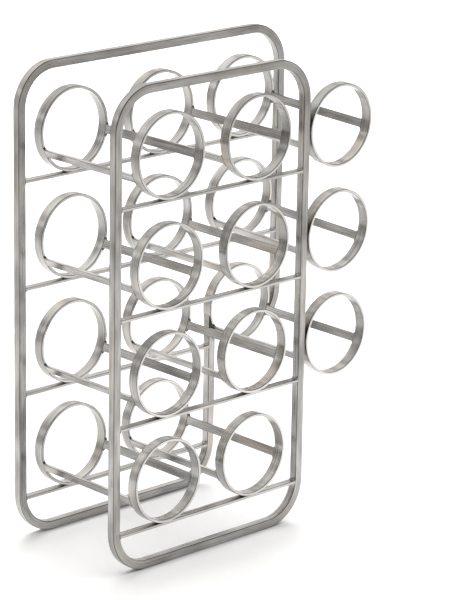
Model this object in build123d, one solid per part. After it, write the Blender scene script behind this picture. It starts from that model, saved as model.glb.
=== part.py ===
from build123d import *
import math
import os

# Wine rack for eleven bottles, welded from stainless steel bar and flat strip.
# Two upright hoops of square bar stand one behind the other. Thin crossbars span
# them, and on the crossbars sit the bottle holders. A holder is a pair of rings,
# one in each hoop, joined by two straps. Two columns of four holders stand inside
# both hoops. A third column of three hangs outside the front hoop's right leg,
# and the rear hoop is wider there.
# +X is to the right seen from the front, -Y is the front, +Z is up.
# Millimetres. The origin is the middle of the footprint, at floor level.

# ---- driving dimensions ----
bottle_diameter = 76.0      # a standard 750 ml bottle
bottle_clearance = 3.0      # between the bottle and a ring, all round
strip_thickness = 3.0       # flat strip of the rings, straps and crossbars
ring_width = 12.0           # of a ring, front to back
strap_width = 9.0
left_strap_angles = [27.0, 28.0, 31.0, 22.0]    # degrees below the ring's mid height, from
right_strap_angles = [9.0, 21.0, 20.0, 13.0]    # the top row down, as each row was welded
hoop_bar = 9.0              # square bar of both hoops
hoop_spacing = 145.5        # between the middles of the two hoops
corner_radius = 46.0        # outside of each hoop corner
rows = 4
inner_columns = 2           # the columns that stand inside both hoops
outer_rows = 3              # rows that the third column has, counted from the top
column_pitch = 118.5        # between the two inner columns
row_pitch = 112.0
side_gap = 19.0             # inner column's ring to the hoop leg beside it
top_gap = 21.5              # top ring to the hoop's top bar
base_gap = 31.5             # lowest crossbar to the hoop's bottom bar
outer_gap = 8.0             # third column's ring to the rear hoop's right leg
outer_drop = 5.0            # third column's front rings hang this much lower
bend_start = 9.0            # right leg starts to bend this far above its ring's middle
bend_turn = 47.0            # degrees that it bends before it meets the ring
post_top = 13.0             # lower right leg ends this far below that ring's middle
weld_gap = 0.2              # left for the weld where a bar end meets a ring
edge_break = 0.5            # radius of the bars' and strips' long edges

# ---- worked out from them ----
ring_inner = bottle_diameter / 2 + bottle_clearance
ring_outer = ring_inner + strip_thickness
corner_centreline = corner_radius - hoop_bar / 2

crossbar_depth = hoop_bar
leg_offset = ring_outer + side_gap + hoop_bar / 2
outer_pitch = leg_offset + hoop_bar / 2 + ring_outer
right_leg_offset = ring_outer + outer_gap + hoop_bar / 2

inner_span = column_pitch * (inner_columns - 1)
width = leg_offset + inner_span + outer_pitch + right_leg_offset + hoop_bar
left_leg_x = -width / 2 + hoop_bar / 2
first_x = left_leg_x + leg_offset
outer_x = first_x + inner_span + outer_pitch
column_x = [first_x + column_pitch * column for column in range(inner_columns)] + [outer_x]
front_right_leg_x = first_x + inner_span + leg_offset
rear_right_leg_x = outer_x + right_leg_offset
post_x = outer_x - ring_outer + hoop_bar / 2

lowest_ring_z = hoop_bar + base_gap + strip_thickness + ring_outer
row_z = [lowest_ring_z + row_pitch * (rows - 1 - row) for row in range(rows)]
height = row_z[0] + ring_outer + top_gap + hoop_bar
front_y = -hoop_spacing / 2
rear_y = hoop_spacing / 2
corner_ring_z = row_z[outer_rows - 1] - outer_drop

# An outer holder rests its rear ring on a crossbar and leans down to the front.
outer_tilt = math.degrees(math.asin(outer_drop / hoop_spacing))
seat_lift = crossbar_depth / 2 * math.tan(math.radians(outer_tilt))
seat_lift += ring_outer * (1 / math.cos(math.radians(outer_tilt)) - 1)


def save(shape, name):
    """Write one piece as its own STEP file, named after the piece."""
    shape.label = name
    export_step(shape, f"parts/{name}.step")


def eased(shape):
    """Round every edge of a bar or strip a little."""
    return fillet(shape.edges(), edge_break)


def front_hoop():
    """A closed hoop, two columns wide, bent from one square bar."""
    across = front_right_leg_x - left_leg_x
    outside = RectangleRounded(across + hoop_bar, height, corner_radius)
    inside = RectangleRounded(across - hoop_bar, height - 2 * hoop_bar, corner_radius - hoop_bar)
    middle_x = (left_leg_x + front_right_leg_x) / 2
    face = Plane.XZ.offset(-front_y) * Pos(middle_x, height / 2) * (outside - inside)
    return eased(extrude(face, hoop_bar / 2, both=True))


def rear_hoop():
    """One square bar round three columns at the top and two at the bottom.

    Both of its ends stop at the third column's lowest ring, which closes the hoop.
    """
    bend_centre = (rear_right_leg_x - corner_centreline, corner_ring_z + bend_start)
    bend = CenterArc(bend_centre, corner_centreline, -bend_turn, bend_turn)
    top = height - hoop_bar / 2
    bottom = hoop_bar / 2
    corners = [
        (rear_right_leg_x, bend_centre[1]),
        (rear_right_leg_x, top),
        (left_leg_x, top),
        (left_leg_x, bottom),
        (post_x, bottom),
        (post_x, corner_ring_z - post_top),
    ]
    run = FilletPolyline(*corners, radius=corner_centreline)
    path = Plane.XZ.offset(-rear_y) * Wire(bend.edges() + run.edges())
    section = Plane(path @ 0, x_dir=(0, 1, 0), z_dir=path % 0) * Rectangle(hoop_bar, hoop_bar)
    bar = eased(sweep(section, path=path))
    return bar - corner_ring_room()


def corner_ring_room():
    """The space that the rear hoop's ends leave for the ring between them."""
    room = Cylinder(ring_outer + weld_gap, 2 * ring_width, rotation=(90, 0, 0))
    return Pos(outer_x, rear_y, corner_ring_z) * room


def corner_inset(z):
    """How far a hoop's inner side has curved in from its legs, at a height z."""
    below = max(corner_radius - z, 0)
    inner_radius = corner_radius - hoop_bar
    return inner_radius - math.sqrt(inner_radius**2 - below**2)


def crossbar(y, row, right_leg_x):
    """A flat strip between a hoop's legs, its top face under that row's rings."""
    z = row_z[row] - ring_outer - strip_thickness / 2
    inset = hoop_bar / 2 + corner_inset(z - strip_thickness / 2)
    start = left_leg_x + inset
    end = right_leg_x - inset
    strip = eased(Box(end - start, crossbar_depth, strip_thickness))
    return Pos((start + end) / 2, y, z) * strip


def ring():
    """A ring rolled from flat strip, its axis along Y."""
    wall = Cylinder(ring_outer, ring_width) - Cylinder(ring_inner, ring_width)
    return Rot(90, 0, 0) * eased(wall)


def strap():
    """A flat strip that runs from ring to ring, in line with the ring's wall."""
    length = hoop_spacing - ring_width
    strip = eased(Box(strip_thickness, length, strap_width))
    return Pos(ring_inner + strip_thickness / 2, 0, 0) * strip


def holder_place(row, column):
    """Where a holder's middle is, and how it leans."""
    if column < inner_columns:
        return Location((column_x[column], 0, row_z[row]))
    if row == outer_rows - 1:
        return Location((outer_x, 0, corner_ring_z))
    z = row_z[row] + seat_lift - outer_drop / 2
    return Location((outer_x, 0, z), (outer_tilt, 0, 0))


def save_holder(row, column):
    """Two rings and two straps, each a piece of its own."""
    place = holder_place(row, column)
    name = f"r{row + 1}_c{column + 1}"
    save(place * Pos(0, front_y, 0) * ring(), f"ring_{name}_front")
    save(place * Pos(0, rear_y, 0) * ring(), f"ring_{name}_rear")
    save(place * Rot(0, 180 - left_strap_angles[row], 0) * strap(), f"strap_{name}_left")
    save(place * Rot(0, right_strap_angles[row], 0) * strap(), f"strap_{name}_right")


def main():
    os.makedirs("parts", exist_ok=True)
    save(front_hoop(), "front_hoop")
    save(rear_hoop(), "rear_hoop")
    for row in range(rows):
        rear_right = rear_right_leg_x if row < outer_rows - 1 else post_x
        save(crossbar(front_y, row, front_right_leg_x), f"front_crossbar_{row + 1}")
        save(crossbar(rear_y, row, rear_right), f"rear_crossbar_{row + 1}")
        columns = inner_columns + 1 if row < outer_rows else inner_columns
        for column in range(columns):
            save_holder(row, column)
    print(f"width {width:.1f}, height {height:.1f}, ring bore {2 * ring_inner:.1f}")


main()
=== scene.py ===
# %% [markdown]
# A welded wine rack in brushed stainless steel
#
# The rack is square bar, flat strip and rolled rings, all welded together. This notebook
# starts from an exact solid model of it, which is the frame, and builds the visible pieces
# around that frame. Every piece stands where the frame says, so nothing is placed by eye.
# Lengths are in metres, as Blender expects, and one bar is only nine thousandths of one.

# %% Load the frame
import bmesh
import bpy
import math
from mathutils import Matrix, Vector


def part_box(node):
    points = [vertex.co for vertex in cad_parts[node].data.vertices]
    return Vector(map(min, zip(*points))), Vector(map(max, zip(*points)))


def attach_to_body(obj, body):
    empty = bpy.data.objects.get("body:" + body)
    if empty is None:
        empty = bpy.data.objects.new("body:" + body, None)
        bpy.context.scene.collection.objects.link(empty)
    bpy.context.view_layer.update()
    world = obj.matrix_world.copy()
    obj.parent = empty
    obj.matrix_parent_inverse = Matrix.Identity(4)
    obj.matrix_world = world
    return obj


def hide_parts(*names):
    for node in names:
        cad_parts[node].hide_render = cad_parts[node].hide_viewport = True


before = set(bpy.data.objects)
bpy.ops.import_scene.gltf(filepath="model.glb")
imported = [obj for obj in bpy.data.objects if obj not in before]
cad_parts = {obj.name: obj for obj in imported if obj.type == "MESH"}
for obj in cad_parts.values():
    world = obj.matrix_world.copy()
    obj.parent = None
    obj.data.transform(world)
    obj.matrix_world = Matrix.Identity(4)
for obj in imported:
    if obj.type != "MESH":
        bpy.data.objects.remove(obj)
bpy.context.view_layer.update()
print("nodes in the frame:", len(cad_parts))

# %% [markdown]
# Sizes
#
# A modelled piece has to agree with its neighbours, so each size is read from the frame
# once and given a name. A node's box gives its lowest and highest corner. The bar's
# thickness and the ring's wall follow from a few of those boxes. Two sizes that no box
# shows are typed in.

# %% Read the sizes from the frame
MM = 0.001


def middle(node):
    """The middle of a node's box."""
    low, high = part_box(node)
    return (low + high) / 2


def extent(node):
    """How far a node reaches along X, Y and Z."""
    low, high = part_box(node)
    return high - low


ring_size = extent("ring_r1_c1_front")
bar = extent("front_hoop").y
strip = extent("front_crossbar_1").z
ring_outer = ring_size.x / 2
ring_width = ring_size.y
ring_middle = ring_outer - strip / 2
strap_length = extent("strap_r1_c1_right").y
strap_width = 9 * MM        # no box shows this one, because every strap is turned
corner_outer = 46 * MM      # nor this, the outside radius of a hoop's corner
corner_line = corner_outer - bar / 2
hoop_low, hoop_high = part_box("front_hoop")
rear_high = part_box("rear_hoop")[1]
front_y = middle("front_hoop").y
rear_y = middle("rear_hoop").y
height = hoop_high.z
ROWS = range(1, 5)
COLUMNS = range(1, 4)
print(f"bar {bar / MM:.1f} mm, ring {2 * ring_outer / MM:.1f} mm, height {height / MM:.0f} mm")

# %% [markdown]
# Tools for drawing metal
#
# Everything on this rack is one small section drawn out along a line, as a mill does it.
# That is also the simplest way to model it: a flat plane is sized and its corners are
# rounded, then its outline is extruded along the straights and spun round the bends. The
# alternative is a curve with a bevel, but a swept outline lets each ring of corners carry
# its distance along the bar, and the brushed grain needs that distance later.

# %% Select and edit
NEAR = 0.001 * MM


def rest():
    """Back to object mode with nothing selected. The frame's nodes are selected after loading."""
    if bpy.context.object and bpy.context.object.mode != "OBJECT":
        bpy.ops.object.mode_set(mode="OBJECT")
    bpy.ops.object.select_all(action="DESELECT")


def pick(test):
    """In edit mode, select the corners that pass a test, and what lies between them."""
    mesh = bpy.context.object.data
    bpy.ops.mesh.select_all(action="DESELECT")
    shape = bmesh.from_edit_mesh(mesh)
    along = shape.verts.layers.float["along"]
    for vert in shape.verts:
        vert.select = test(vert.co, vert[along])
    shape.select_flush(True)
    bmesh.update_edit_mesh(mesh)


def at_length(length):
    """A test for the corners that lie that far along the metal."""
    return lambda co, along: abs(along - length) < NEAR


def newest():
    """The middle of the corners that are selected, which are the newest ones."""
    shape = bmesh.from_edit_mesh(bpy.context.object.data)
    chosen = [vert.co for vert in shape.verts if vert.select]
    return sum(chosen, Vector()) / len(chosen)


def write_along(length):
    """Note on the newest corners how far along the metal they lie."""
    mesh = bpy.context.object.data
    shape = bmesh.from_edit_mesh(mesh)
    along = shape.verts.layers.float["along"]
    for vert in shape.verts:
        if vert.select:
            vert[along] = length
    bmesh.update_edit_mesh(mesh)


# %% Start a section
def section(name, size_x, size_y, corner, at):
    """A flat outline of that size with rounded corners, ready to be drawn out along Z."""
    rest()
    bpy.ops.mesh.primitive_plane_add(size=1)
    piece = bpy.context.object
    piece.name = name
    piece.data.name = name
    bpy.ops.object.mode_set(mode="EDIT")
    bpy.ops.mesh.select_all(action="SELECT")
    bpy.ops.transform.resize(value=(size_x, size_y, 1))
    bpy.ops.mesh.bevel(affect="VERTICES", offset=corner, offset_type="OFFSET", segments=3)
    bpy.ops.mesh.select_all(action="SELECT")
    bpy.ops.mesh.delete(type="ONLY_FACE")
    shape = bmesh.from_edit_mesh(piece.data)
    along = shape.verts.layers.float.new("along")
    across = shape.verts.layers.float.new("across")
    shape.verts.ensure_lookup_table()
    vert = shape.verts[0]
    edge = vert.link_edges[0]
    travelled = 0.0
    for _ in shape.verts:
        vert[across] = travelled
        travelled += edge.calc_length()
        vert = edge.other_vert(vert)
        edge = [other for other in vert.link_edges if other != edge][0]
    bmesh.update_edit_mesh(piece.data)
    piece["around"] = travelled
    bpy.ops.mesh.select_all(action="SELECT")
    bpy.ops.transform.translate(value=at)
    write_along(0.0)
    piece["length"] = 0.0
    return piece


# %% Draw it out
def draw(piece, move, steps=1, widen=(1, 1, 1)):
    """Extrude the newest outline by a move, in steps, each of them widened."""
    step = Vector(move) / steps
    for _ in range(steps):
        bpy.ops.mesh.extrude_region_move(TRANSFORM_OT_translate={"value": step})
        if widen != (1, 1, 1):
            bpy.ops.transform.resize(value=widen, center_override=newest())
        piece["length"] += step.length
        write_along(piece["length"])


def turn(piece, centre, angle, steps, radius):
    """Spin the newest outline round an axis along Y. A positive angle turns +Z towards +X.

    With no window the spin goes against its axis, so it gets the angle negated.
    """
    part = angle / steps
    for _ in range(steps):
        before = newest() - centre
        bpy.ops.mesh.spin(steps=1, angle=-part, center=centre, axis=(0, 1, 0))
        goal = Matrix.Rotation(part, 3, "Y") @ before
        if (newest() - centre - goal).length > radius * abs(part) / 2:
            raise ValueError("the spin went the other way")
        piece["length"] += radius * abs(part)
        write_along(piece["length"])


# %% [markdown]
# The grain
#
# Brushed steel is fine scratches that follow the metal, round the rings and along the
# bars. A pattern laid out in the object's own X, Y and Z would cut straight across the
# bends, so each piece gets a UV map named grain instead: U is the distance along the metal
# and V is the distance round its section, both in metres. One material then suits every
# piece. Each copy starts at another place in the pattern, so that no two look alike.

# %% Lay the grain
NEXT_GRAIN = Vector((0.613, 0.271))    # from one piece's place in the pattern to the next


def unrolled(values, total):
    """Values round a closed line, made continuous over one face."""
    if max(values) - min(values) > total / 2:
        return [value + total if value < total / 2 else value for value in values]
    return values


def lay_grain(piece):
    """Write the grain map from the lengths that were noted on the piece, then drop those."""
    mesh = piece.data
    along = [item.value for item in mesh.attributes["along"].data]
    across = [item.value for item in mesh.attributes["across"].data]
    grain = mesh.uv_layers.new(name="grain")
    for face in mesh.polygons:
        corners = [mesh.loops[loop].vertex_index for loop in face.loop_indices]
        lengths = unrolled([along[corner] for corner in corners], piece["length"])
        rounds = unrolled([across[corner] for corner in corners], piece["around"])
        for loop, length, around in zip(face.loop_indices, lengths, rounds):
            grain.data[loop].uv = (length, around)
    mesh.attributes.remove(mesh.attributes["along"])
    mesh.attributes.remove(mesh.attributes["across"])
    del piece["length"], piece["around"]


def shift_grain(piece, number):
    """Start this piece somewhere else in the pattern."""
    for corner in piece.data.uv_layers["grain"].data:
        corner.uv = corner.uv + number * NEXT_GRAIN


# %% [markdown]
# Closing and shading
#
# A drawn piece is an open tube. A hoop or a ring ends in two outlines at one place, which
# are merged, and a straight piece gets a face on each end. The sides of a real bar are flat
# and its edges are a little round. Smooth shading alone would make those sides look padded,
# so each face counts by its size, which keeps the broad ones flat. The narrow sides are marked
# for a painted highlight, and the rounded edges for a painted shade line.

# %% Close the metal
def close_seam():
    """Merge the two outlines that meet where a closed piece began."""
    bpy.ops.mesh.select_all(action="SELECT")
    bpy.ops.mesh.remove_doubles(threshold=0.01 * MM)


def cap(length):
    """Close the end that lies that far along the metal."""
    pick(at_length(length))
    bpy.ops.mesh.edge_face_add()


def cap_both(piece):
    """Close both ends of a straight piece."""
    cap(0.0)
    cap(piece["length"])


# %% Finish a piece
SMOOTH_BELOW = math.radians(40)
BROAD_FACES = 80            # how far a broad face outweighs a narrow one in the shading
Y_AXIS = 1
Z_AXIS = 2


def shade(piece):
    """Shade the long curves smoothly, and let the broad faces stay flat between the edges."""
    rest()
    piece.select_set(True)
    bpy.context.view_layer.objects.active = piece
    bpy.ops.object.shade_smooth_by_angle(angle=SMOOTH_BELOW)
    bpy.ops.object.modifier_add(type="WEIGHTED_NORMAL")
    piece.modifiers[-1].weight = BROAD_FACES
    bpy.ops.object.modifier_apply(modifier=piece.modifiers[-1].name)
    rest()


def mark_edges(piece, axis):
    """Mark the sides that face along an axis with 1, for a painted highlight, and the rounded
    edges with -1, for a painted shade line.
    """
    mesh = piece.data
    edge = mesh.attributes.new("edge", "FLOAT", "CORNER")
    for face in mesh.polygons:
        facing = abs(face.normal[axis])
        side = 0.0
        if facing > 0.9:
            side = 1.0
        elif facing > 0.2:
            side = -1.0
        for loop in face.loop_indices:
            edge.data[loop].value = side


def finish_piece(piece, axis, material):
    """Point the faces outwards, lay the grain, shade the piece and give it its steel."""
    bpy.ops.mesh.select_all(action="SELECT")
    bpy.ops.mesh.normals_make_consistent(inside=False)
    bpy.ops.object.mode_set(mode="OBJECT")
    lay_grain(piece)
    shade(piece)
    mark_edges(piece, axis)
    piece.data.materials.append(material)


# %% Copy and attach
def copy_of(pattern, name, place):
    """A copy with its own mesh, with its place in that mesh."""
    piece = bpy.data.objects.new(name, pattern.data.copy())
    bpy.context.scene.collection.objects.link(piece)
    piece.data.name = name
    piece.data.transform(place)
    return piece


def attach(piece, node):
    """The piece stands for its node, whose mesh is hidden, and rides with the rack."""
    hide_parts(node)
    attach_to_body(piece, "root")


# %% [markdown]
# Brushed stainless steel
#
# The real metal is a satin, slightly warm grey. Three things make it look brushed: long
# thin streaks of lighter and darker metal, a roughness that changes from streak to streak,
# and highlights that spread across the scratches and not along them. The streaks are noise
# stretched more than a hundred times along U. The spread is the shader's anisotropy, with
# its tangent taken from the grain map. Slow patches in the colour, some of them a little
# warmer, keep a long bar from looking printed. The narrow sides get a painted highlight, and
# a painted shade line runs dark along each rounded edge. Both follow the marks on the piece.

# %% The tones of the steel
DARK = (0.125, 0.120, 0.112)
LIGHT = (0.575, 0.565, 0.546)
WARM = (0.50, 0.43, 0.375)
# painted highlight: a light colour laid on the narrow sides, standing in for the light they catch
PAINTED_HIGHLIGHT = (0.80, 0.785, 0.76)
# painted shade: a dark colour laid along each rounded edge, standing in for the shade there
PAINTED_SHADE_LINE = (0.07, 0.065, 0.06)
WARM_SHARE = 0.45
# how far the painted shade line darkens a rounded edge
SHADE_LINE_SHARE = 0.8
STREAK_LENGTH = 120         # times as long as it is wide

# Features per metre, along the grain and across it.
SCRATCHES = (40, 3500, 1)
PATCHES = (22, 60, 1)
WARM_PATCHES = (9, 30, 1)
print("tones:", DARK, "to", LIGHT)


# %% A steel for each kind of piece
def steel(name, streaks_per_metre, roughness, highlight_share):
    """A brushed steel scratched along the grain map's U, with a painted highlight on its narrow
    sides and a painted shade line along its rounded edges.
    """
    material = bpy.data.materials.new(name)
    material.use_nodes = True
    nodes = material.node_tree.nodes
    links = material.node_tree.links
    shader = nodes["Principled BSDF"]
    shader.inputs["Metallic"].default_value = 1.0
    shader.inputs["Anisotropic"].default_value = 0.5
    shader.inputs["Anisotropic Rotation"].default_value = 0.25
    grain = nodes.new("ShaderNodeUVMap")
    grain.uv_map = "grain"
    tangent = nodes.new("ShaderNodeTangent")
    tangent.direction_type = "UV_MAP"
    tangent.uv_map = "grain"
    links.new(tangent.outputs["Tangent"], shader.inputs["Tangent"])

    def noise(scale, detail):
        """Noise over the grain map, stretched by different scales along U and V."""
        stretch = nodes.new("ShaderNodeMapping")
        stretch.inputs["Scale"].default_value = scale
        field = nodes.new("ShaderNodeTexNoise")
        field.inputs["Scale"].default_value = 1.0
        field.inputs["Detail"].default_value = detail
        links.new(grain.outputs["UV"], stretch.inputs["Vector"])
        links.new(stretch.outputs["Vector"], field.inputs["Vector"])
        return field.outputs["Fac"]

    def spread(value, low, high, start=0.3, end=0.7):
        """A value from start to end, which is where most noise lies, spread from low to high."""
        reach = nodes.new("ShaderNodeMapRange")
        reach.inputs["From Min"].default_value = start
        reach.inputs["From Max"].default_value = end
        reach.inputs["To Min"].default_value = low
        reach.inputs["To Max"].default_value = high
        links.new(value, reach.inputs["Value"])
        return reach.outputs["Result"]

    def blend(factor, first, second):
        """A colour between two others, each a fixed one or another blend's result."""
        mix = nodes.new("ShaderNodeMix")
        mix.data_type = "RGBA"
        links.new(factor, mix.inputs["Factor"])
        for socket, colour in (("A", first), ("B", second)):
            if isinstance(colour, tuple):
                mix.inputs[socket].default_value = (*colour, 1)
            else:
                links.new(colour, mix.inputs[socket])
        return mix.outputs["Result"]

    streaks = noise((streaks_per_metre / STREAK_LENGTH, streaks_per_metre, 1), 3.0)
    scratches = noise(SCRATCHES, 2.0)
    patches = noise(PATCHES, 2.0)
    warmth = noise(WARM_PATCHES, 1.0)
    mottle = nodes.new("ShaderNodeMath")
    mottle.operation = "ADD"
    links.new(spread(streaks, 0.0, 0.5), mottle.inputs[0])
    links.new(spread(patches, 0.0, 0.5), mottle.inputs[1])

    edge = nodes.new("ShaderNodeAttribute")
    edge.attribute_name = "edge"
    tone = blend(mottle.outputs["Value"], DARK, LIGHT)
    tone = blend(spread(warmth, 0.0, WARM_SHARE, 0.48, 0.72), tone, WARM)
    # painted highlight: the narrow sides are lightened towards a fixed light colour
    tone = blend(spread(edge.outputs["Fac"], 0.0, highlight_share, 0.0, 1.0), tone, PAINTED_HIGHLIGHT)
    # painted shade: the rounded edges are darkened towards a fixed dark colour
    tone = blend(spread(edge.outputs["Fac"], 0.0, SHADE_LINE_SHARE, 0.0, -1.0), tone, PAINTED_SHADE_LINE)
    links.new(tone, shader.inputs["Base Color"])
    satin = spread(streaks, roughness - 0.05, roughness + 0.07)
    links.new(satin, shader.inputs["Roughness"])

    relief = nodes.new("ShaderNodeBump")
    relief.inputs["Strength"].default_value = 0.25
    relief.inputs["Distance"].default_value = 0.05 * MM
    links.new(scratches, relief.inputs["Height"])
    links.new(relief.outputs["Normal"], shader.inputs["Normal"])
    print("made", name)
    return material


# the last number is how strongly each steel's narrow sides get the painted highlight
hoop_steel = steel("hoop_steel", streaks_per_metre=1100, roughness=0.26, highlight_share=0.0)
crossbar_steel = steel("crossbar_steel", streaks_per_metre=1300, roughness=0.26, highlight_share=0.35)
ring_steel = steel("ring_steel", streaks_per_metre=1700, roughness=0.22, highlight_share=0.5)
strap_steel = steel("strap_steel", streaks_per_metre=1500, roughness=0.26, highlight_share=0.35)

# %% [markdown]
# The front hoop
#
# The front hoop is one square bar bent into a closed upright frame. Its section is drawn up
# the left leg, spun round each corner on the bar's own centre line, and meets itself where
# it started. There the doubled corners are merged, so that no seam is left. Sixteen steps
# in each bend keep the outline round even from close by.

# %% Model the front hoop
BEND_STEPS = 16
QUARTER = math.pi / 2
BAR_EDGE = 0.8 * MM


def bend(piece, centre, angle):
    """Bend the bar round one corner of a hoop."""
    turn(piece, Vector(centre), angle, BEND_STEPS, corner_line)


left_x = hoop_low.x + bar / 2
right_x = hoop_high.x - bar / 2
left_bend = left_x + corner_line
right_bend = right_x - corner_line
upper_bend = height - corner_outer
lower_bend = corner_outer
straight = upper_bend - lower_bend
hoop = section("front_hoop_steel", bar, bar, BAR_EDGE, (left_x, front_y, lower_bend))
draw(hoop, (0, 0, straight), 8)
bend(hoop, (left_bend, front_y, upper_bend), QUARTER)
draw(hoop, (right_bend - left_bend, 0, 0), 4)
bend(hoop, (right_bend, front_y, upper_bend), QUARTER)
draw(hoop, (0, 0, -straight), 8)
bend(hoop, (right_bend, front_y, lower_bend), QUARTER)
draw(hoop, (left_bend - right_bend, 0, 0), 4)
bend(hoop, (left_bend, front_y, lower_bend), QUARTER)
close_seam()
finish_piece(hoop, Y_AXIS, hoop_steel)
attach(hoop, "front_hoop")
print("front hoop:", len(hoop.data.polygons), "faces")

# %% [markdown]
# The rear hoop
#
# The rear hoop is the same bar, three columns wide above and two below, and it isn't
# closed: the lowest ring of the third column closes it. Its two ends meet that ring, one
# in a bend at the ring's lower right and one as an upright post at its lower left. The bar
# is drawn from the foot of the right leg all the way round to the post. Then the first
# outline is picked again and bent the other way. A slanting cut shapes the top of the post
# to sit against the ring, with the weld metal that fills the corner between the two.

# %% Draw the rear hoop's bar
END_BEND = math.radians(47)
END_BEND_STEPS = 8
END_BEND_ABOVE = 9 * MM     # the right leg starts to bend this far above the ring's middle
POST_BELOW = 6 * MM         # the post ends this far below it, weld metal included

corner_ring = middle("ring_r3_c3_rear")
wide_x = rear_high.x - bar / 2
wide_bend = wide_x - corner_line
post_x = corner_ring.x - ring_outer + bar / 2
post_top = corner_ring.z - POST_BELOW
bend_start = corner_ring.z + END_BEND_ABOVE
back = section("rear_hoop_steel", bar, bar, BAR_EDGE, (wide_x, rear_y, bend_start))
draw(back, (0, 0, upper_bend - bend_start), 5)
bend(back, (wide_bend, rear_y, upper_bend), -QUARTER)
draw(back, (left_bend - wide_bend, 0, 0), 6)
bend(back, (left_bend, rear_y, upper_bend), -QUARTER)
draw(back, (0, 0, -straight), 8)
bend(back, (left_bend, rear_y, lower_bend), -QUARTER)
draw(back, (post_x - corner_line - left_bend, 0, 0), 4)
bend(back, (post_x - corner_line, rear_y, lower_bend), -QUARTER)
draw(back, (0, 0, post_top - lower_bend), 4)
post_end = back["length"]
pick(at_length(0.0))
turn(back, Vector((wide_bend, rear_y, bend_start)), END_BEND, END_BEND_STEPS, corner_line)
cap(back["length"])
cap(post_end)
print(f"bar of the rear hoop: {back['length'] / MM:.0f} mm")


# %% Cut the post to the ring
def ring_reach(offset):
    """How far the ring's outside reaches to each side, at an offset from its middle."""
    return math.sqrt(ring_outer**2 - offset**2)


# The cut runs along the chord between the two points where the post's sides meet the ring.
inner_x = post_x + bar / 2
chord_start = Vector((corner_ring.x - ring_reach(corner_ring.z - post_top), 0, post_top))
chord_end = Vector((inner_x, 0, corner_ring.z - ring_reach(corner_ring.x - inner_x)))
chord = chord_end - chord_start
pick(lambda co, along: abs(co.x - post_x) < bar and corner_outer - bar < co.z < corner_ring.z)
bpy.ops.mesh.bisect(
    plane_co=chord_start, plane_no=(-chord.z, 0, chord.x), use_fill=True, clear_outer=True
)
finish_piece(back, Y_AXIS, hoop_steel)
attach(back, "rear_hoop")
print("rear hoop:", len(back.data.polygons), "faces")

# %% [markdown]
# The rings
#
# Each ring is flat strip rolled into a hoop and welded shut, with its edges broken. One ring
# is modelled: the strip's section, three by twelve millimetres, spun all the way round the
# Y axis. A torus primitive has a round section and wouldn't do. A hundred and forty four
# steps make each facet under two millimetres long, which can't be seen on the inside of
# the curve. The ring is then copied to each of its places in the frame.

# %% Model one ring
RING_STEPS = 144
STRIP_EDGE = 0.6 * MM
ring = section("ring_pattern", strip, ring_width, STRIP_EDGE, (ring_middle, 0, 0))
turn(ring, Vector(), 2 * math.pi, RING_STEPS, ring_middle)
close_seam()
finish_piece(ring, Y_AXIS, ring_steel)
print("ring:", len(ring.data.polygons), "faces")

# %% [markdown]
# The straps
#
# A strap is a short flat strip between the two rings of a holder. The welder leaves a small
# smooth fillet in the plane of the strip at each end. So the section starts wide, narrows
# quickly over the first few millimetres along a quarter circle, runs straight and widens
# again. It is drawn upwards and then laid down along Y.

# %% A strip with fillets
FILLET_STEPS = 6


def strip_with_fillets(name, thickness, width, length, fillet, straight_steps):
    """A strip drawn up Z. It is thickness by width, and its width flares at both ends."""
    stops = []
    widths = []
    for step in range(FILLET_STEPS + 1):
        turned = QUARTER * step / FILLET_STEPS
        stops.append(fillet * (1 - math.cos(turned)))
        widths.append(width + 2 * fillet * (1 - math.sin(turned)))
    piece = section(name, thickness, widths[0], STRIP_EDGE, (0, 0, -length / 2))
    for step in range(FILLET_STEPS):
        narrower = widths[step + 1] / widths[step]
        draw(piece, (0, 0, stops[step + 1] - stops[step]), 1, (1, narrower, 1))
    draw(piece, (0, 0, length - 2 * fillet), straight_steps)
    for step in reversed(range(FILLET_STEPS)):
        wider = widths[step] / widths[step + 1]
        draw(piece, (0, 0, stops[step + 1] - stops[step]), 1, (1, wider, 1))
    return piece


# %% Model one strap
STRAP_FILLET = 2.6 * MM
strap = strip_with_fillets("strap_pattern", strip, strap_width, strap_length, STRAP_FILLET, 6)
bpy.ops.mesh.select_all(action="SELECT")
bpy.ops.transform.rotate(value=QUARTER, orient_axis="X", center_override=(0, 0, 0))
cap_both(strap)
finish_piece(strap, Z_AXIS, strap_steel)
print("strap:", len(strap.data.polygons), "faces")

# %% [markdown]
# A weld bead
#
# Where a ring stands on a crossbar, the gap between them opens slowly to both sides, and the
# welder lays a thin bead in each side. One bead is modelled: a thin cylinder with its end
# edges bevelled round. Beads this small only need a few faces.

# %% Model one bead
BEAD_RADIUS = 0.9 * MM
BEAD_ROUND = 0.6 * MM
rest()
bpy.ops.mesh.primitive_cylinder_add(
    vertices=12,
    radius=BEAD_RADIUS,
    depth=bar - 2 * BEAD_ROUND,
    rotation=(QUARTER, 0, 0),
    calc_uvs=False,
)
bead = bpy.context.object
bead.name = "bead_pattern"
bpy.ops.object.transform_apply(location=True, rotation=True, scale=True)
bpy.ops.object.mode_set(mode="EDIT")
shape = bmesh.from_edit_mesh(bead.data)
for edge in shape.edges:
    edge.select = abs(edge.verts[0].co.y - edge.verts[1].co.y) < NEAR
bmesh.update_edit_mesh(bead.data)
bpy.ops.mesh.bevel(affect="EDGES", offset=BEAD_ROUND, segments=3)
bpy.ops.object.mode_set(mode="OBJECT")
bead_grain = bead.data.uv_layers.new(name="grain")
for loop in bead.data.loops:
    point = bead.data.vertices[loop.vertex_index].co
    bead_grain.data[loop.index].uv = (point.y, point.x + point.z)
bpy.ops.object.shade_smooth_by_angle(angle=math.radians(60))
rest()
print("bead:", len(bead.data.polygons), "faces")


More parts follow.
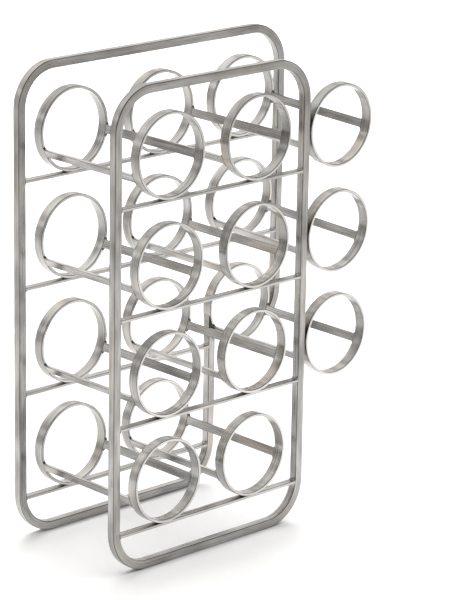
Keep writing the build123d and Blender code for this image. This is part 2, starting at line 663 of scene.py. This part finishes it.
# %% Weld beads to a piece
BEAD_REACH = 8 * MM         # from where the ring touches to each bead
BEAD_GAP = BEAD_REACH**2 / (2 * ring_outer)     # how wide the gap is there


def weld(piece, places):
    """Join a bead to a piece at each of these places, in the piece's own steel."""
    beads = []
    for count, at in enumerate(places):
        beads.append(copy_of(bead, f"bead_{count}", Matrix.Translation(at)))
    rest()
    for drop in beads:
        drop.data.materials.clear()
        drop.data.materials.append(piece.data.materials[0])
        drop.select_set(True)
    piece.select_set(True)
    bpy.context.view_layer.objects.active = piece
    bpy.ops.object.join()
    rest()


print(f"gap at a bead: {BEAD_GAP / MM:.2f} mm")

# %% [markdown]
# The holders
#
# A holder is two rings and two straps, eleven times over. The rings' places come straight
# from the frame. In the third column the upper two holders lean forward a little, because
# the rear ring stands on a crossbar and the front ring is welded to the hoop's leg lower
# down. That lean is worked out from the two rings' middles and not typed in, and so is each
# strap's place round the ring, which differs a little from row to row as hand welding does.

# %% Place the rings and straps
SEAM_TURN = 2.4             # radians from one ring's seam to the next one's
leg_side = right_x + bar / 2
piece_number = 0


def place_ring(node, at, lean):
    """One ring, turned on its axis so that no two show the same streaks."""
    seam_turn = Matrix.Rotation(piece_number * SEAM_TURN, 4, "Y")
    piece = copy_of(ring, node + "_steel", Matrix.Translation(at) @ lean @ seam_turn)
    shift_grain(piece, piece_number)
    return piece


def place_strap(node, holder_middle, lean):
    """One strap, as far round the rings as its node is."""
    reach = middle(node) - holder_middle
    round_the_ring = Matrix.Rotation(math.atan2(-reach.z, reach.x), 4, "Y")
    place = Matrix.Translation(middle(node)) @ lean @ round_the_ring
    piece = copy_of(strap, node + "_steel", place)
    shift_grain(piece, piece_number)
    return piece


for row in ROWS:
    for column in COLUMNS:
        holder = f"r{row}_c{column}"
        if f"ring_{holder}_front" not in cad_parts:
            continue
        ends = {end: middle(f"ring_{holder}_{end}") for end in ("front", "rear")}
        holder_middle = (ends["front"] + ends["rear"]) / 2
        rise = ends["rear"] - ends["front"]
        lean = Matrix.Rotation(math.atan2(rise.z, rise.y), 4, "X")
        for end, at in ends.items():
            node = f"ring_{holder}_{end}"
            piece = place_ring(node, at, lean)
            if column == COLUMNS[-1] and end == "front":
                bead_x = leg_side + BEAD_GAP
                weld(piece, [(bead_x, front_y, at.z + side * BEAD_REACH) for side in (-1, 1)])
            attach(piece, node)
            piece_number += 1
        for side in ("left", "right"):
            node = f"strap_{holder}_{side}"
            piece = place_strap(node, holder_middle, lean)
            attach(piece, node)
            piece_number += 1
for pattern in (ring, strap):
    bpy.data.objects.remove(pattern)
print("rings and straps:", piece_number)

# %% [markdown]
# The crossbars
#
# A crossbar is flat strip as deep as the hoop's bar, set between the legs. It is made like a
# strap, with a small fillet where each end meets a leg, but here the fillet is above and
# below the strip, because the strip is already as deep as the leg. It gets its beads under
# each ring that stands on it.

# %% Model the crossbars
CROSSBAR_FILLET = 1.3 * MM
STANDS_WITHIN = 1.5 * MM    # a ring whose foot is this near a crossbar's top stands on it


def crossbar(node, low, high):
    """One crossbar between a hoop's legs, in its place."""
    length = high.x - low.x
    piece = strip_with_fillets(node + "_steel", bar, strip, length, CROSSBAR_FILLET, 8)
    bpy.ops.mesh.select_all(action="SELECT")
    bpy.ops.transform.rotate(value=QUARTER, orient_axis="Z", center_override=(0, 0, 0))
    bpy.ops.transform.rotate(value=QUARTER, orient_axis="Y", center_override=(0, 0, 0))
    bpy.ops.transform.translate(value=(low + high) / 2)
    cap_both(piece)
    finish_piece(piece, Y_AXIS, crossbar_steel)
    return piece


for end, y in (("front", front_y), ("rear", rear_y)):
    for row in ROWS:
        node = f"{end}_crossbar_{row}"
        low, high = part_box(node)
        piece = crossbar(node, low, high)
        shift_grain(piece, piece_number)
        standing = []
        for column in COLUMNS:
            above = f"ring_r{row}_c{column}_{end}"
            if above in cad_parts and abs(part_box(above)[0].z - high.z) < STANDS_WITHIN:
                standing.append(middle(above).x)
        bead_z = high.z + BEAD_GAP / 2
        weld(piece, [(x + side * BEAD_REACH, y, bead_z) for x in standing for side in (-1, 1)])
        attach(piece, node)
        piece_number += 1
        print(node, "carries", len(standing), "rings")
bpy.data.objects.remove(bead)

# %% [markdown]
# The floor
#
# The rack stands on a plain, pale, slightly soft surface.

# %% Paint and lay the floor
FLOOR_SIZE = 16
FLOOR_DROP = 0.1 * MM       # the floor lies this far under the rack


def floor_paint():
    """A matt off-white with a very faint cloudiness."""
    material = bpy.data.materials.new("floor_paint")
    material.use_nodes = True
    nodes = material.node_tree.nodes
    links = material.node_tree.links
    position = nodes.new("ShaderNodeTexCoord")
    clouds = nodes.new("ShaderNodeTexNoise")
    clouds.inputs["Scale"].default_value = 3.0
    links.new(position.outputs["Object"], clouds.inputs["Vector"])
    tint = nodes.new("ShaderNodeMix")
    tint.data_type = "RGBA"
    tint.inputs["A"].default_value = (0.86, 0.86, 0.86, 1)
    tint.inputs["B"].default_value = (0.88, 0.88, 0.88, 1)
    links.new(clouds.outputs["Fac"], tint.inputs["Factor"])
    shader = nodes["Principled BSDF"]
    links.new(tint.outputs["Result"], shader.inputs["Base Color"])
    shader.inputs["Roughness"].default_value = 0.85
    shader.inputs["Specular IOR Level"].default_value = 0.2
    return material


rest()
bpy.ops.mesh.primitive_plane_add(size=FLOOR_SIZE, location=(0, 0, -FLOOR_DROP))
floor = bpy.context.object
floor.name = "floor"
bpy.ops.object.transform_apply(location=True, rotation=False, scale=False)
rest()
floor.data.materials.append(floor_paint())
print("floor:", FLOOR_SIZE, "m across")

# %% [markdown]
# Light
#
# Polished steel shows what stands around it, so lighting it means choosing what it sees.
# The room gets brighter and darker in bands from the horizon to straight overhead, and it
# is dim at the front and bright behind. So the tops of the bars shine, their fronts stay a
# middle grey, and each ring shows light and dark stretches round its wall. A large soft
# lamp hangs over the rack, and a second one lights the floor behind it so that the
# background stays white. The steel doesn't mirror the lamps, which would show as square
# white spots.

# %% Build the room
ROOM_BANDS = [(0.0, 0.62), (0.18, 0.45), (0.31, 1.15), (0.45, 0.42), (0.64, 1.10), (1.0, 0.80)]
BEHIND = (0.3, 0.95, 0)
DIM = 0.2
BRIGHT = 1.6


def room():
    """A pale room in bands: each has its height, as the sine of its angle, and its grey."""
    world = bpy.data.worlds.new("studio")
    world.use_nodes = True
    nodes = world.node_tree.nodes
    links = world.node_tree.links
    direction = nodes.new("ShaderNodeTexCoord")
    split = nodes.new("ShaderNodeSeparateXYZ")
    links.new(direction.outputs["Generated"], split.inputs["Vector"])
    by_height = nodes.new("ShaderNodeValToRGB")
    links.new(split.outputs["Z"], by_height.inputs["Fac"])
    stops = by_height.color_ramp.elements
    while len(stops) < len(ROOM_BANDS):
        stops.new(0.5)
    for stop, (up, grey) in zip(stops, ROOM_BANDS):
        stop.position = up
        stop.color = (grey, grey * 0.99, grey * 0.975, 1)
    behind = nodes.new("ShaderNodeVectorMath")
    behind.operation = "DOT_PRODUCT"
    behind.inputs[1].default_value = BEHIND
    links.new(direction.outputs["Generated"], behind.inputs[0])
    strength = nodes.new("ShaderNodeMapRange")
    strength.interpolation_type = "SMOOTHSTEP"
    strength.inputs["From Min"].default_value = -0.8
    strength.inputs["From Max"].default_value = 0.8
    strength.inputs["To Min"].default_value = DIM
    strength.inputs["To Max"].default_value = BRIGHT
    links.new(behind.outputs["Value"], strength.inputs["Value"])
    links.new(by_height.outputs["Color"], nodes["Background"].inputs["Color"])
    links.new(strength.outputs["Result"], nodes["Background"].inputs["Strength"])
    return world


bpy.context.scene.world = room()
print("room:", len(ROOM_BANDS), "bands")


# %% Hang the lamps
def lamp(name, at, target, size, power, spread):
    """A square soft lamp at a point, turned to a target, that the steel doesn't mirror.

    Its power is in watts and its spread in degrees.
    """
    light = bpy.data.lights.new(name, "AREA")
    light.shape = "SQUARE"
    light.size = size
    light.energy = power
    light.spread = math.radians(spread)
    stand = bpy.data.objects.new(name, light)
    bpy.context.scene.collection.objects.link(stand)
    stand.location = at
    stand.rotation_euler = (Vector(target) - Vector(at)).to_track_quat("-Z", "Y").to_euler()
    stand.visible_glossy = False


lamp("lamp_over", (0.15, -0.05, 1.75), (0.05, 0, 0), size=2.0, power=20, spread=150)
lamp("lamp_behind", (1.8, 1.9, 2.6), (1.6, 1.7, 0), size=2.6, power=62, spread=120)
print("lamps:", len(bpy.data.lights))

# %% [markdown]
# The camera
#
# A long lens a few metres away keeps the uprights nearly parallel, as in a catalogue. It
# looks down a little from the front left, and is tilted about one degree.

# %% Set the camera
CAMERA_AT = Vector((-1.98094, -2.12815, 1.11046))
LOOKS_AT = Vector((0.0358, 0.0, 0.23044))
ROLL = math.radians(0.97)
eye = bpy.data.cameras.new("camera")
eye.lens = 176.3
eye.sensor_width = 36
camera = bpy.data.objects.new("camera", eye)
bpy.context.scene.collection.objects.link(camera)
aim = (LOOKS_AT - CAMERA_AT).to_track_quat("-Z", "Y").to_matrix().to_4x4()
roll = Matrix.Rotation(ROLL, 4, "Z")
camera.matrix_world = Matrix.Translation(CAMERA_AT) @ aim @ roll
bpy.context.scene.camera = camera
bpy.context.scene.view_settings.view_transform = "Standard"
print(f"camera: {(LOOKS_AT - CAMERA_AT).length:.2f} m away")
